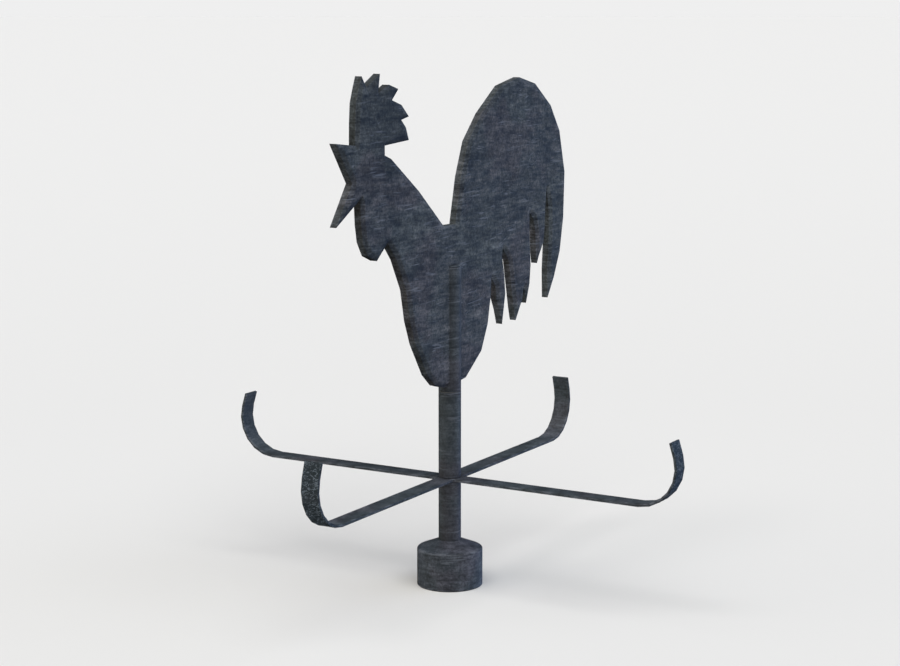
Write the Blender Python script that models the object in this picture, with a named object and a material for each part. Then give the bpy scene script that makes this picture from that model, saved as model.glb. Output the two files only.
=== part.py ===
"""Weather vane: a cast rooster that turns on a spindle over four fixed, hooked direction arms.

Metres, +Z up. The origin is the centre of the foot's underside. The arms run along X and Y.
The rooster stands in the XZ plane, beak towards -X, and turns about Z on the post's axis.
Two bodies: the stand (foot, posts, arms, spindle) and the rooster with the tube it rides on.
"""
import math

import bmesh
import bpy
import numpy as np
from mathutils import Vector
from mathutils.geometry import delaunay_2d_cdt

MM = 0.001
GAP = 0.3 * MM              # gap left between pieces that touch
RUN_GAP = 0.25 * MM         # radial clearance of the rooster's bushes on the spindle
PAST = 1 * MM               # how far a cutter runs past the face that it cuts
ROUND = 40                  # sides of the larger turned pieces
SMALL_ROUND = 24            # sides of the pieces inside the post
HOLE_ROUND = 16             # sides of small holes and screws
SMOOTH_BELOW = math.radians(32)     # edges flatter than this are shaded smooth

# Foot
FOOT_R = 36.6 * MM
FOOT_WALL = 42 * MM         # height of the upright wall
FOOT_CONE = 9.8 * MM        # rise of the shallow cone above the wall
FOOT_EDGE = 1.2 * MM        # broken edges
SOCKET_FLOOR = 27 * MM      # height that the post stands at inside the foot
NUT_POCKET = 14 * MM        # depth of the pocket under the foot
NUT_POCKET_R = 13.5 * MM
FIXING_HOLES = 3
FIXING_CIRCLE_R = 25.5 * MM
FIXING_HOLE_R = 2.5 * MM
FIXING_DEPTH = 16 * MM

# Post
POST_R = 12.5 * MM
POST_BORE_R = 10 * MM
ARM_TOP = 122.7 * MM        # upper face of the arms
ARM_THICK = 3 * MM
ARM_WIDTH = 20.6 * MM
ARM_EDGE = 0.4 * MM
UPPER_POST_TOP = 216.9 * MM
PLUG_R = POST_BORE_R - GAP
PLUG_LENGTH = 12 * MM
FLANGE_THICK = 2 * MM       # rim of the bearing plug, flush with the post

# Arms: flat run, bend and straight tip, measured on the face inside the hook
HOOK_START = 233.2 * MM     # from the post's axis to the start of the bend
HOOK_R = 41.3 * MM
HOOK_TURN = math.radians(107)
HOOK_TIPS_X = (17.6 * MM, 15.8 * MM)    # at the -X and +X ends
HOOK_TIPS_Y = (16.6 * MM, 15.8 * MM)    # at the -Y and +Y ends
HOOK_STEPS = 6              # flats that the bend is forged in
ARM_EDGE_ANGLE = math.radians(50)   # only the bar's long edges are sharper than this

# Spindle and its fasteners
SPINDLE_R = 5 * MM
SPINDLE_FOOT = 1.5 * MM
SPINDLE_TOP = 334 * MM
SPINDLE_EDGE = 0.8 * MM
SPINDLE_HOLE_R = SPINDLE_R + GAP
CUP_R = 3.5 * MM            # conical cup in the spindle's top, as deep as it is wide
BALL_R = 4 * MM
GROOVE_Z = 325.5 * MM       # groove for the retaining screw
GROOVE_R = 3.6 * MM
GROOVE_HALF = 3.2 * MM
NUT_FLATS = 16 * MM
NUT_HIGH = 8 * MM
WASHER_R = 9.6 * MM
WASHER_THICK = 1.5 * MM

# Rooster's tube and bearings
TUBE_TOP = 360 * MM         # top of the cap
CAP_RIM = 2 * MM
CAP_EDGE = 0.5 * MM
CAP_SPIGOT = 8 * MM
BUSH_LENGTH = 15 * MM
LOWER_BUSH_Z = 233 * MM
SCREW_R = 2.5 * MM
SCREW_TIP_PLAY = 0.5 * MM   # from the screw's tip to the bottom of the groove
SCREW_SUNK = 0.4 * MM       # below the tube's face
SCREW_KEY_R = 1.4 * MM      # hexagon socket
SCREW_KEY_DEPTH = 2.5 * MM
DUST_WASHER = 0.8 * MM

# Rooster: the rim is a flat land, bevelled up to both faces
PLATE_HALF = 6.25 * MM
LAND_HALF = 3.85 * MM
BEVEL_WIDTH = 5.5 * MM
LEAST_BEVEL = 0.8 * MM      # a corner too tight for this gets no inner point
BEVEL_SPACING = 1.6 * MM    # least distance between two inner points
BEVEL_ACCURACY = 0.02 * MM
OUTLINE_STEP = 8 * MM       # longest stretch of rim between two points

# Outline in millimetres as (x, z), clockwise. Its corners are joined by straight edges.
OUTLINE = (
    # upper beak and forehead
    (-230, 505), (-194.5, 501), (-194, 523), (-192.5, 543), (-187, 558), (-182, 569.5),
    # comb
    (-173.5, 558), (-164, 562.5), (-147.5, 571), (-151, 551.5), (-140, 555.5), (-130.5, 559.5),
    (-112, 554.5), (-124.5, 543.5), (-106, 538), (-91.5, 525.5), (-106.5, 522.5), (-97.5, 514.5),
    (-91.5, 501), (-139, 498),
    # neck and back
    (-139, 488), (-126.5, 483.5), (-72, 446.5), (-20, 404.5), (5.5, 404),
    # rise, crown and fall of the tail, down to the tip of the outer feather
    (18, 455), (34, 492.5), (63.5, 521.5), (108, 550.5), (152, 559), (191, 550.5), (230.5, 524),
    (254, 493), (268.5, 443), (266, 388), (257.5, 348.5), (242.5, 318.5), (226.5, 295.5),
    # slot between the outer feather and the next, then that feather's tip
    (225.5, 330), (228.5, 370), (228.5, 392), (226.5, 410), (221.5, 427),
    (219, 405), (217.5, 378), (214.5, 363.5), (203, 348), (198.5, 340),
    # wide slot and the pair of feathers behind it
    (196, 352), (194, 378), (189, 394), (179, 402),
    (179, 383), (181, 357), (182.5, 340), (180, 318), (171.5, 296),
    (169.5, 307), (165.5, 316), (162, 301.5), (146, 279),
    # narrow slot and the innermost feather
    (141.5, 294), (134, 327), (128.5, 351), (114, 367),
    (112.5, 357), (118, 335), (120.5, 313), (113, 279),
    (106.5, 297), (99.5, 310), (97.5, 325), (87.5, 336),
    # belly and breast, up to the wattle
    (85.5, 313), (79, 284), (64.5, 255.5), (29, 230.5), (18, 229), (-18.5, 226.5), (-37, 231.5),
    (-54, 245.5), (-79, 283), (-90, 309), (-98, 344), (-117, 378), (-134.5, 397.5),
    # wattle
    (-155.5, 381), (-172, 387.5), (-181.5, 402.5), (-185, 421), (-186.5, 446.5),
    # lower beak and mouth
    (-230.5, 422), (-200.5, 463.5),
)


def clear_scene():
    for thing in list(bpy.data.objects):
        bpy.data.objects.remove(thing, do_unlink=True)


def material(name, colour, roughness, metallic):
    mat = bpy.data.materials.new(name)
    mat.use_nodes = True
    shader = mat.node_tree.nodes["Principled BSDF"]
    shader.inputs["Base Color"].default_value = (*colour, 1)
    shader.inputs["Roughness"].default_value = roughness
    shader.inputs["Metallic"].default_value = metallic
    mat.diffuse_color = (*colour, 1)
    return mat


def add_object(name, bm, mat, parent=None):
    """Turn a bmesh into an object with its normals facing out."""
    bmesh.ops.recalc_face_normals(bm, faces=bm.faces)
    mesh = bpy.data.meshes.new(name)
    bm.to_mesh(mesh)
    bm.free()
    if mat:
        mesh.materials.append(mat)
    thing = bpy.data.objects.new(name, mesh)
    bpy.context.collection.objects.link(thing)
    thing.parent = parent
    return thing


def shade_round(thing):
    thing.data.shade_smooth()
    thing.data.set_sharp_from_angle(angle=SMOOTH_BELOW)


def turned(name, profile, mat, sides=SMALL_ROUND, parent=None):
    """Turn a closed (radius, height) profile about Z. It may start and end on the axis."""
    bm = bmesh.new()
    verts = [bm.verts.new((radius, 0, height)) for radius, height in profile]
    edges = [bm.edges.new(pair) for pair in zip(verts, verts[1:])]
    if profile[0][0] > 0:
        edges.append(bm.edges.new((verts[-1], verts[0])))
    bmesh.ops.spin(bm, geom=verts + edges, axis=(0, 0, 1), cent=(0, 0, 0),
                   angle=2 * math.pi, steps=sides, use_merge=True)
    bmesh.ops.remove_doubles(bm, verts=bm.verts, dist=1e-6)
    thing = add_object(name, bm, mat, parent)
    shade_round(thing)
    return thing


def ring(name, inner, outer, low, high, mat, sides=SMALL_ROUND, parent=None):
    profile = [(inner, high), (outer, high), (outer, low), (inner, low)]
    return turned(name, profile, mat, sides, parent)


def prism(name, outline, place, offset, mat=None):
    """Extrude a flat outline by a vector; place puts an outline point in space."""
    bm = bmesh.new()
    face = bm.faces.new([bm.verts.new(place(*point)) for point in outline])
    extruded = bmesh.ops.extrude_face_region(bm, geom=[face])["geom"]
    moved = [item for item in extruded if isinstance(item, bmesh.types.BMVert)]
    bmesh.ops.translate(bm, verts=moved, vec=offset)
    return add_object(name, bm, mat)


def circle(radius, sides, start=0.0):
    angles = [start + 2 * math.pi * i / sides for i in range(sides)]
    return [(radius * math.cos(a), radius * math.sin(a)) for a in angles]


def rod_cutter(name, radius, low, high, centre=(0, 0), sides=SMALL_ROUND):
    def place(x, y):
        return (centre[0] + x, centre[1] + y, low)
    return as_cutter(prism(name, circle(radius, sides), place, (0, 0, high - low)))


def box_cutter(name, low, high):
    corners = [(low[0], low[1]), (high[0], low[1]), (high[0], high[1]), (low[0], high[1])]

    def place(x, y):
        return (x, y, low[2])
    return as_cutter(prism(name, corners, place, (0, 0, high[2] - low[2])))


def as_cutter(thing):
    thing.hide_render = True
    thing.display_type = "WIRE"
    return thing


def cut(thing, cutter):
    boolean = thing.modifiers.new("cut " + cutter.name, "BOOLEAN")
    boolean.operation = "DIFFERENCE"
    boolean.solver = "EXACT"
    boolean.object = cutter


# ---- stand ----------------------------------------------------------------------------------

def base_foot(mat):
    cone_top = FOOT_WALL + FOOT_CONE
    socket_r = POST_R + GAP
    slope = FOOT_CONE / (FOOT_R - POST_R)
    profile = [
        (socket_r, cone_top - slope * GAP),
        (FOOT_R - FOOT_EDGE, FOOT_WALL + slope * FOOT_EDGE),
        (FOOT_R, FOOT_WALL - FOOT_EDGE),
        (FOOT_R, FOOT_EDGE),
        (FOOT_R - FOOT_EDGE, 0),
        (NUT_POCKET_R, 0),
        (NUT_POCKET_R, NUT_POCKET),
        (SPINDLE_HOLE_R, NUT_POCKET),
        (SPINDLE_HOLE_R, SOCKET_FLOOR),
        (socket_r, SOCKET_FLOOR),
    ]
    foot = turned("base_foot", profile, mat, ROUND)
    for i in range(FIXING_HOLES):
        angle = math.pi / 2 + 2 * math.pi * i / FIXING_HOLES
        centre = (FIXING_CIRCLE_R * math.cos(angle), FIXING_CIRCLE_R * math.sin(angle))
        cut(foot, rod_cutter(f"fixing_hole_{i + 1}", FIXING_HOLE_R, -PAST, FIXING_DEPTH, centre,
                             HOLE_ROUND))


def nut(name, low, mat):
    corner_r = NUT_FLATS / math.sqrt(3)
    body = prism(name, circle(corner_r, 6), lambda x, y: (x, y, low), (0, 0, NUT_HIGH), mat)
    cut(body, rod_cutter(name + "_bore", SPINDLE_HOLE_R, low - PAST, low + NUT_HIGH + PAST))


def foot_fasteners(mat):
    washer_top = NUT_POCKET - GAP
    washer_low = washer_top - WASHER_THICK
    ring("foot_washer", SPINDLE_HOLE_R, WASHER_R, washer_low, washer_top, mat)
    nut("foot_nut", washer_low - GAP - NUT_HIGH, mat)


def posts(mat):
    arm_low = ARM_TOP - ARM_THICK
    ring("lower_post", POST_BORE_R, POST_R, SOCKET_FLOOR + GAP, arm_low - GAP, mat, ROUND)
    ring("upper_post", POST_BORE_R, POST_R, ARM_TOP + GAP, UPPER_POST_TOP, mat, ROUND)


def post_plugs(mat):
    """Turned plugs that clamp the arms between the two post tubes."""
    top = ARM_TOP - ARM_THICK - GAP
    low = ARM_TOP + GAP
    ring("lower_post_plug", SPINDLE_HOLE_R, PLUG_R, top - PLUG_LENGTH, top, mat)
    ring("upper_post_plug", SPINDLE_HOLE_R, PLUG_R, low, low + PLUG_LENGTH, mat)


def bearing_plug(mat):
    """Flanged plug in the top of the upper post. The clamp nut pulls down on it."""
    low = UPPER_POST_TOP + GAP
    high = low + FLANGE_THICK
    profile = [
        (SPINDLE_HOLE_R, high),
        (POST_R, high),
        (POST_R, low),
        (PLUG_R, low),
        (PLUG_R, low - PLUG_LENGTH),
        (SPINDLE_HOLE_R, low - PLUG_LENGTH),
    ]
    turned("bearing_plug", profile, mat, ROUND)
    ring("clamp_washer", SPINDLE_HOLE_R, WASHER_R, high + GAP, high + GAP + WASHER_THICK, mat)
    return high


def hook_side(offset, tip):
    """Points along one face of an arm's outer half, offset outwards from the inside face."""
    radius = HOOK_R + offset
    points = []
    for i in range(HOOK_STEPS + 1):
        angle = HOOK_TURN * i / HOOK_STEPS
        points.append((HOOK_START + radius * math.sin(angle), HOOK_R - radius * math.cos(angle)))
    end, height = points[-1]
    points.append((end + tip * math.cos(HOOK_TURN), height + tip * math.sin(HOOK_TURN)))
    return points


def arm_half(tip):
    """Side view of an arm's outer half, as (along, height over its upper face)."""
    return hook_side(0, tip) + hook_side(ARM_THICK, tip)[::-1]


def arm_outline(low_tip, high_tip):
    """Side view of a whole bar, hooked at both ends, from its high end to its low end."""
    return arm_half(high_tip) + [(-along, height) for along, height in arm_half(low_tip)[::-1]]


def cross_arm(name, along_x, mat):
    """One flat bar with both ends turned up, halved where it crosses the other bar."""
    half = ARM_WIDTH / 2
    if along_x:
        bar = prism(name, arm_outline(*HOOK_TIPS_X), lambda s, h: (s, -half, ARM_TOP + h),
                    (0, ARM_WIDTH, 0), mat)
    else:
        bar = prism(name, arm_outline(*HOOK_TIPS_Y), lambda s, h: (-half, s, ARM_TOP + h),
                    (ARM_WIDTH, 0, 0), mat)
    edges = bar.modifiers.new("broken edges", "BEVEL")
    edges.width = ARM_EDGE
    edges.segments = 1
    edges.limit_method = "ANGLE"
    edges.angle_limit = ARM_EDGE_ANGLE
    under = ARM_TOP - ARM_THICK - PAST
    over = ARM_TOP + PAST
    middle = ARM_TOP - ARM_THICK / 2
    reach = half + GAP
    if along_x:
        low, high = middle - GAP / 2, over
    else:
        low, high = under, middle + GAP / 2
    cut(bar, box_cutter(name + "_halving", (-reach, -reach, low), (reach, reach, high)))
    cut(bar, rod_cutter(name + "_bore", SPINDLE_HOLE_R, under, over))
    shade_round(bar)


def spindle(mat):
    """Tie rod through the stack. Its top carries the rooster on a ball."""
    groove_low = GROOVE_Z - GROOVE_HALF
    groove_high = GROOVE_Z + GROOVE_HALF
    profile = [
        (0, SPINDLE_TOP - CUP_R),
        (CUP_R, SPINDLE_TOP),
        (SPINDLE_R - SPINDLE_EDGE, SPINDLE_TOP),
        (SPINDLE_R, SPINDLE_TOP - SPINDLE_EDGE),
        (SPINDLE_R, groove_high),
        (GROOVE_R, groove_high),
        (GROOVE_R, groove_low),
        (SPINDLE_R, groove_low),
        (SPINDLE_R, SPINDLE_FOOT + SPINDLE_EDGE),
        (SPINDLE_R - SPINDLE_EDGE, SPINDLE_FOOT),
        (0, SPINDLE_FOOT),
    ]
    turned("spindle", profile, mat)


# ---- rooster --------------------------------------------------------------------------------

def rooster_outline():
    """The outline with its long edges divided, so that the bevel follows them evenly."""
    corners = [Vector(corner) * MM for corner in OUTLINE]
    outline = []
    for start, end in zip(corners, corners[1:] + corners[:1]):
        pieces = math.ceil((end - start).length / OUTLINE_STEP)
        outline += [start.lerp(end, i / pieces) for i in range(pieces)]
    return outline


def edge_distance(point, outline):
    """Shortest distance from a point to the closed outline."""
    start = np.array(outline)
    run = np.roll(start, -1, axis=0) - start
    to_point = np.array(point) - start
    along = np.clip((to_point * run).sum(1) / (run * run).sum(1), 0, 1)
    return float(np.sqrt(((to_point - run * along[:, None]) ** 2).sum(1).min()))


def bevel_points(outline):
    """Points where the bevel ends: at its full width, or on the ridge of a narrow stretch."""
    found = []
    count = len(outline)
    for i, corner in enumerate(outline):
        before = (corner - outline[i - 1]).normalized()
        after = (outline[(i + 1) % count] - corner).normalized()
        for run in (before, after, before + after):
            inward = Vector((run.y, -run.x)).normalized()
            reach, too_far = 0.0, 2 * BEVEL_WIDTH
            while too_far - reach > BEVEL_ACCURACY:
                middle = (reach + too_far) / 2
                if edge_distance(corner + inward * middle, outline) > middle - BEVEL_ACCURACY:
                    reach = middle
                else:
                    too_far = middle
            spot = corner + inward * min(reach, BEVEL_WIDTH)
            clear = all((spot - other).length > BEVEL_SPACING for other in found)
            if reach > LEAST_BEVEL and clear:
                found.append(spot)
    return found


def rooster_plate(mat, parent):
    """Cast plate whose rim has a flat land and a bevel to each face, bored from below."""
    outline = rooster_outline()
    count = len(outline)
    points = outline + bevel_points(outline)
    rim = [(i, (i + 1) % count) for i in range(count)]
    flat, _, faces, origin, _, _ = delaunay_2d_cdt(points, rim, [], 1, 1e-7)
    on_rim = {source: index for index, sources in enumerate(origin) for source in sources
              if source < count}
    bm = bmesh.new()
    sheets = []
    for side in (-1, 1):
        verts = []
        for point in flat:
            rise = min(1.0, edge_distance(point, outline) / BEVEL_WIDTH)
            depth = LAND_HALF + (PLATE_HALF - LAND_HALF) * rise
            verts.append(bm.verts.new((point.x, side * depth, point.y)))
        for face in faces:
            bm.faces.new([verts[i] for i in face])
        sheets.append(verts)
    near, far = sheets
    for a, b in rim:
        a, b = on_rim[a], on_rim[b]
        bm.faces.new((near[a], near[b], far[b], far[a]))
    plate = add_object("rooster_plate", bm, mat, parent)
    cut(plate, rod_cutter("rooster_plate_bore", POST_R + GAP, UPPER_POST_TOP, TUBE_TOP + GAP,
                          sides=ROUND))


def rotor_tube(low, mat, parent):
    tube = ring("rotor_tube", POST_BORE_R, POST_R, low, TUBE_TOP - CAP_RIM - GAP, mat, ROUND, parent)
    cut(tube, screw_hole("rotor_tube_hole"))


def screw_hole(name):
    def place(x, z):
        return (x, 0, GROOVE_Z + z)
    return as_cutter(prism(name, circle(SCREW_R + GAP, HOLE_ROUND), place, (0, 2 * POST_R, 0)))


def bushes(mat, parent):
    bore = SPINDLE_R + RUN_GAP
    ring("lower_bush", bore, PLUG_R, LOWER_BUSH_Z, LOWER_BUSH_Z + BUSH_LENGTH, mat, parent=parent)
    half = BUSH_LENGTH / 2
    upper = ring("upper_bush", bore, PLUG_R, GROOVE_Z - half, GROOVE_Z + half, mat, parent=parent)
    cut(upper, screw_hole("upper_bush_hole"))


def retaining_screw(mat, parent):
    """Grub screw in the back of the tube. Its tip runs in the spindle's groove."""
    tip = GROOVE_R + SCREW_TIP_PLAY
    head = POST_R - SCREW_SUNK
    screw = prism("retaining_screw", circle(SCREW_R, HOLE_ROUND),
                  lambda x, z: (x, tip, GROOVE_Z + z), (0, head - tip, 0), mat)
    screw.parent = parent
    socket = prism("retaining_screw_socket", circle(SCREW_KEY_R, 6),
                   lambda x, z: (x, head - SCREW_KEY_DEPTH, GROOVE_Z + z),
                   (0, SCREW_KEY_DEPTH + PAST, 0))
    cut(screw, as_cutter(socket))


def thrust_ball(mat, parent):
    """Ball resting in the spindle's cup, and the pad that it carries."""
    centre = SPINDLE_TOP - CUP_R + (BALL_R + GAP) * math.sqrt(2)
    bm = bmesh.new()
    bmesh.ops.create_icosphere(bm, subdivisions=2, radius=BALL_R)
    bmesh.ops.translate(bm, verts=bm.verts, vec=(0, 0, centre))
    ball = add_object("thrust_ball", bm, mat, parent)
    ball.data.shade_smooth()
    return centre + BALL_R


def thrust_pad(low, mat, parent):
    high = TUBE_TOP - CAP_RIM - CAP_SPIGOT - GAP
    turned("thrust_pad", [(0, high), (PLUG_R, high), (PLUG_R, low), (0, low)], mat, parent=parent)


def rotor_cap(mat, parent):
    rim_low = TUBE_TOP - CAP_RIM
    profile = [
        (0, TUBE_TOP),
        (POST_R - CAP_EDGE, TUBE_TOP),
        (POST_R, TUBE_TOP - CAP_EDGE),
        (POST_R, rim_low),
        (PLUG_R, rim_low),
        (PLUG_R, rim_low - CAP_SPIGOT),
        (0, rim_low - CAP_SPIGOT),
    ]
    turned("rotor_cap", profile, mat, ROUND, parent)


def build():
    clear_scene()
    dark_steel = material("dark_steel", (0.055, 0.063, 0.080), 0.5, 0.85)
    cast_plate = material("cast_plate", (0.060, 0.070, 0.092), 0.5, 0.8)
    bright_steel = material("bright_steel", (0.50, 0.51, 0.53), 0.35, 1.0)
    bronze = material("bronze", (0.48, 0.32, 0.16), 0.4, 1.0)
    nylon = material("nylon", (0.55, 0.56, 0.56), 0.6, 0.0)

    base_foot(dark_steel)
    foot_fasteners(bright_steel)
    posts(dark_steel)
    post_plugs(bright_steel)
    cross_arm("cross_arm_x", True, dark_steel)
    cross_arm("cross_arm_y", False, dark_steel)
    flange_top = bearing_plug(dark_steel)
    nut("clamp_nut", flange_top + GAP + WASHER_THICK + GAP, bright_steel)
    spindle(bright_steel)

    rooster = bpy.data.objects.new("rooster_axis", None)
    bpy.context.collection.objects.link(rooster)
    washer_low = flange_top + GAP
    washer_top = washer_low + DUST_WASHER
    ring("dust_washer", POST_BORE_R + GAP, POST_R, washer_low, washer_top, nylon, ROUND, rooster)
    rotor_tube(washer_top + GAP, dark_steel, rooster)
    bushes(bronze, rooster)
    retaining_screw(bright_steel, rooster)
    pad_low = thrust_ball(bright_steel, rooster) + GAP
    thrust_pad(pad_low, bright_steel, rooster)
    rotor_cap(dark_steel, rooster)
    rooster_plate(cast_plate, rooster)


build()
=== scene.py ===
"""Looks of a weather vane: a dark cast rooster over four forged, hooked direction arms.

Metres, in the CAD model's frame: +Z up, origin under the foot, beak towards -X.
"""
import math

import bmesh
import bpy
import numpy as np
from mathutils import Matrix, Vector, noise
from mathutils.geometry import delaunay_2d_cdt


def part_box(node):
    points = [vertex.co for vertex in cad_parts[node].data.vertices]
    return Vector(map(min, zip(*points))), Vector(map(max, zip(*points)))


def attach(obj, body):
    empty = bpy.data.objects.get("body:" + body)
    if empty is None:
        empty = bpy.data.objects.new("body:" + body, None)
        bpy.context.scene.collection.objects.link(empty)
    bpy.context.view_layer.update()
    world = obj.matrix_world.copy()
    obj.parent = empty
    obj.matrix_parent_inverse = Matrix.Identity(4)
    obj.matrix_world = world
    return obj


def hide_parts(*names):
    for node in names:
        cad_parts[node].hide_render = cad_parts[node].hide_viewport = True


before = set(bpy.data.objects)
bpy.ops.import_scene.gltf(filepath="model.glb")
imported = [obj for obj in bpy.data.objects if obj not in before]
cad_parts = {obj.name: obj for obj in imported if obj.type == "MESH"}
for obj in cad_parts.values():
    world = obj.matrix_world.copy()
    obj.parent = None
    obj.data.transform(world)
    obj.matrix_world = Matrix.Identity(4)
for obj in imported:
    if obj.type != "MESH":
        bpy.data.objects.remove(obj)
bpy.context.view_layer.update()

MM = 0.001
GAP = 0.3 * MM              # gap between touching pieces
TINY = 0.02 * MM            # tolerance when two CAD points are compared

# Camera and floor
CAMERA_DISTANCE = 2.1399    # level distance from the post's axis
CAMERA_HEIGHT = 0.6342
CAMERA_BEARING = math.radians(210.06)       # where the camera stands, from +X towards +Y
CAMERA_HEADING = math.radians(30.054)       # where it looks
CAMERA_PITCH = math.radians(-9.2865)
CAMERA_LENS = 78.93
FLOOR_SIZE = 600
FLOOR_SHADE = 0.80
BACKDROP_LIFT = 0.035       # how much paler the floor gets far behind the object

# Lamps: (bearing from the camera's right-hand side, elevation, disc angle, strength, colour)
LAMPS = {
    "key": (285, 60, 60, 2.03, (1.0, 0.995, 0.96)),
    "left": (195, 60, 60, 0.38, (1.0, 1.0, 0.98)),
    "left_rim": (210, 60, 22, 0.43, (1.0, 0.95, 0.93)),
    "right": (0, 50, 40, 0.35, (0.90, 0.94, 1.0)),
}
SKY_SEEN = 0.864            # brightness of the empty background
SKY_ABOVE = 0.195           # even light from overhead
# Coloured bounce from the studio's sides: bearing from the camera's right, colour
SIDE_GLOWS = {
    "cool": (20, (0.17, 0.29, 0.58)),
    "warm": (202, (0.34, 0.27, 0.14)),
}

# How much lighter each part's finish is than the tints below, as red, green, blue
PLATE_SHADE = (1.58, 1.48, 1.31)
TUBE_SHADE = (1.44, 1.42, 1.36)
FOOT_SHADE = (1.78, 1.74, 1.72)
ARM_SHADE = (1.34, 1.34, 1.27)
SLEEVE_SHADE = (1.25, 1.22, 1.17)

# Colours of the dark metal
DARK_TINT = (0.0318, 0.0415, 0.0555)
LIGHT_TINT = (0.0370, 0.0425, 0.0540)
STAIN_TINT = (0.0330, 0.0425, 0.0525)
BLOOM_TINT = (0.0395, 0.0400, 0.0535)
BARE_METAL = (0.150, 0.168, 0.205, 1)
# black forge scale, and also painted shade on the hooks' outer faces, which turn from the light
FORGE_SCALE_AND_SHADE = (0.009, 0.021, 0.030, 1)
# painted highlights: bright glints on the hooks' outer faces
PAINTED_GLINT = (0.120, 0.150, 0.185, 1)
# How far each pattern swings the brightness, and how much of it goes into the relief
TONE_SWING = {"brushed": 3.8, "upright": 1.7, "mottle": 2.3, "smear": 1.9, "grit": 2.6}
RELIEF_SHARE = {"brushed": 0.7, "upright": 0.35, "mottle": 0.6, "grit": 0.12}
RELIEF_DEPTH = 0.45 * MM
# Scratches as (tilt, grain, least noise that shows, size of the scratched patches)
SCRATCHES = (
    (0.02, (24, 24, 430), 0.55, (18, 18, 56)),
    (-0.05, (36, 36, 380), 0.56, (19, 19, 42)),
    (0.30, (55, 55, 430), 0.61, (17, 17, 22)),
)
SCRATCH_SHOWS = 1.05        # how much of the bare metal a scratch shows
EDGE_SHOWS = 0.45           # and a worn edge
# how much the painted shade darkens the plate where the plate itself hides the sky
PAINTED_SHADE_DEPTH = 0.58
# Darker places as (centre, inner reach, outer reach, depth)
HEAD_PATINA = ((-0.140, 0.0, 0.520), 35 * MM, 95 * MM, 0.26)
# darker over the foot's cone, round the post
CONE_DARKENING = ((0.0, 0.0, 0.055), 32 * MM, 47 * MM, 0.17)
# Painted shade on the side of the turned pieces that looks this way, painted light on the rest, as
# the light falls; from +X towards +Y
PAINTED_SHADE_SIDE = math.radians(203)
PAINTED_SIDE_RANGE = (1.24, 0.88)   # painted light away from that side, and painted shade on it

# Rooster
BEVEL_WIDTH = 5.5 * MM
RIM_STEP = 2.0 * MM
FACE_STEP = 4.0 * MM
BEVEL_RINGS = (0.35, 0.9, 2.75, 4.6, 5.2, 5.6, 6.3, 8.5)      # millimetres in from the rim
SHELTER_STEPS = (3, 8, 15, 25, 40, 60)      # millimetres looked at from the rim
PAINTED_SHADE_REACH = 9 * MM        # how far in from the rim the painted shade reaches
AHEAD_FADE = 30 * MM         # painted shade only ahead of the post, towards the beak, fading in over this length
CAST_WAVE = 0.16 * MM       # unevenness of the plate's faces
WALL_ROWS = (0.12, 0.5, 0.88)       # rows of points across the rim's narrow wall
LEAST_SPACING = 0.30 * MM   # two points of the plate's faces are no closer than this
ROW_HEIGHT = 0.866          # height of a triangle with sides of 1
BORE_SIDES = 96

# Turned pieces
TURN_STEPS = 128
TURN_LENGTH = 2.5 * MM
FINE_RIPPLE = 0.03 * MM     # turning waves on the tubes
FOOT_RIPPLE = 0.12 * MM
AXIS_R = 0.01 * MM          # stands for the axis where a profile closes on it
FOOT_WALL = 42 * MM
POCKET_DEPTH = 14 * MM
POCKET_R = 13.5 * MM
SPINDLE_HOLE_R = 5.3 * MM
POST_BORE_R = 10 * MM
SOCKET_FLOOR = 27 * MM
FIXING_HOLES = 3
FIXING_HOLE_R = 2.5 * MM
FIXING_CIRCLE_R = 25.5 * MM
FIXING_DEPTH = 16 * MM

# Arms
HOOK_START = 233.2 * MM
HOOK_R = 41.3 * MM
HOOK_TURN = math.radians(107)
HOOK_TIPS_X = (17.6 * MM, 15.8 * MM)    # straight tips at the -X and +X ends
HOOK_TIPS_Y = (16.6 * MM, 15.8 * MM)    # and at the -Y and +Y ends
HOOK_FLATS = 6
ARM_SPANS = 40              # steps along the straight of half a bar
HOOK_SPANS = 9              # steps along each flat of a hook
ARM_ROWS = 14               # steps across a bar
ARM_CORNER = 0.55 * MM
DIMPLE = 4.2 * MM           # size of a hammer mark
DIMPLE_DEPTH = 0.30 * MM
BAR_WAVE = 0.06 * MM        # unevenness of a bar's faces
END_INSET = 0.3 * MM        # broken edge at a bar's two ends
# The forged look, with its painted shade and light, starts this far before the bend and is full
# after this length
BEND_FADE = (5 * MM, 15 * MM)
INNER_PAINTED_LIGHT = -0.40         # "forged" value of a hook's inner face, which is painted paler: painted light


# ---- shader helpers --------------------------------------------------------------------------

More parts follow.
